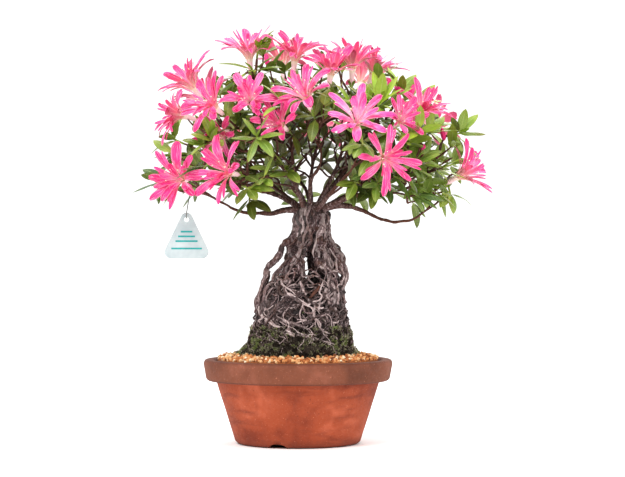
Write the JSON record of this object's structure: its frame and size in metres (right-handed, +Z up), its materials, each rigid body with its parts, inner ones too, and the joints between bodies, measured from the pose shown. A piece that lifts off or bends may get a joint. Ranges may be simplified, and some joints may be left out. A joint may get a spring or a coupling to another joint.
{
  "type": "azalea bonsai in a training pot",
  "caption": "Satsuki azalea bonsai in bloom: strap-petalled pink flowers and narrow leaves on a swollen trunk over exposed roots, in a round clay training pot with gravel and moss",
  "frame": {"origin": "centre of the bounding box at the ground, under the foot of the pot", "axes": "+Z up and the longest extent, -Y toward the front of the plant as seen in the picture, +X to the right in it"},
  "size_m": [0.3426, 0.2886, 0.3991],
  "materials": {
    "terracotta": "matte, weathered",
    "bark": "rough bark",
    "soil": "matte, granular",
    "granules": "matte, porous",
    "moss": "matte, tufted",
    "screen": "matte",
    "petal": "soft satin",
    "leaf": "satin",
    "tag": "satin",
    "wire": "satin"
  },
  "bodies": {
    "root": {"bloom_back_high": "petal", "bloom_back_left": "petal", "bloom_back_low": "petal", "bloom_back_mid": "petal", "bloom_back_right": "petal", "bloom_back_top": "petal", "bloom_behind_left": "petal", "bloom_behind_right": "petal", "bloom_centre": "petal", "bloom_centre_high": "petal", "bloom_crest_right": "petal", "bloom_fan": "petal", "bloom_far_right": "petal", "bloom_inner_left": "petal", "bloom_inner_low": "petal", "bloom_left_front": "petal", "bloom_left_high": "petal", "bloom_left_low": "petal", "bloom_left_side": "petal", "bloom_right_high": "petal", "bloom_right_low": "petal", "bloom_show": "petal", "bloom_top_left": "petal", "bloom_top_mid": "petal", "bloom_top_right": "petal", "drain_screen": "screen", "gravel": "granules", "moss": "moss", "pot": "terracotta", "shoot_back_crest": "leaf", "shoot_back_left": "leaf", "shoot_back_low": "leaf", "shoot_back_low_left": "leaf", "shoot_back_right": "leaf", "shoot_back_side": "leaf", "shoot_centre_low": "leaf", "shoot_centre_right": "leaf", "shoot_centre_top": "leaf", "shoot_far_under": "leaf", "shoot_front_star": "leaf", "shoot_left_arch": "leaf", "shoot_left_crest": "leaf", "shoot_left_dark": "leaf", "shoot_left_low": "leaf", "shoot_left_mid": "leaf", "shoot_left_tip": "leaf", "shoot_right_droop": "leaf", "shoot_right_end": "leaf", "shoot_right_lime": "leaf", "shoot_right_long": "leaf", "shoot_right_mid": "leaf", "shoot_right_oval": "leaf", "shoot_right_under": "leaf", "shoot_top": "leaf", "shoot_under_left": "leaf", "shoot_under_show": "leaf", "soil": "soil", "tag": "tag", "tag_hanger": "wire", "tree": "bark"}
  },
  "joints": []
}
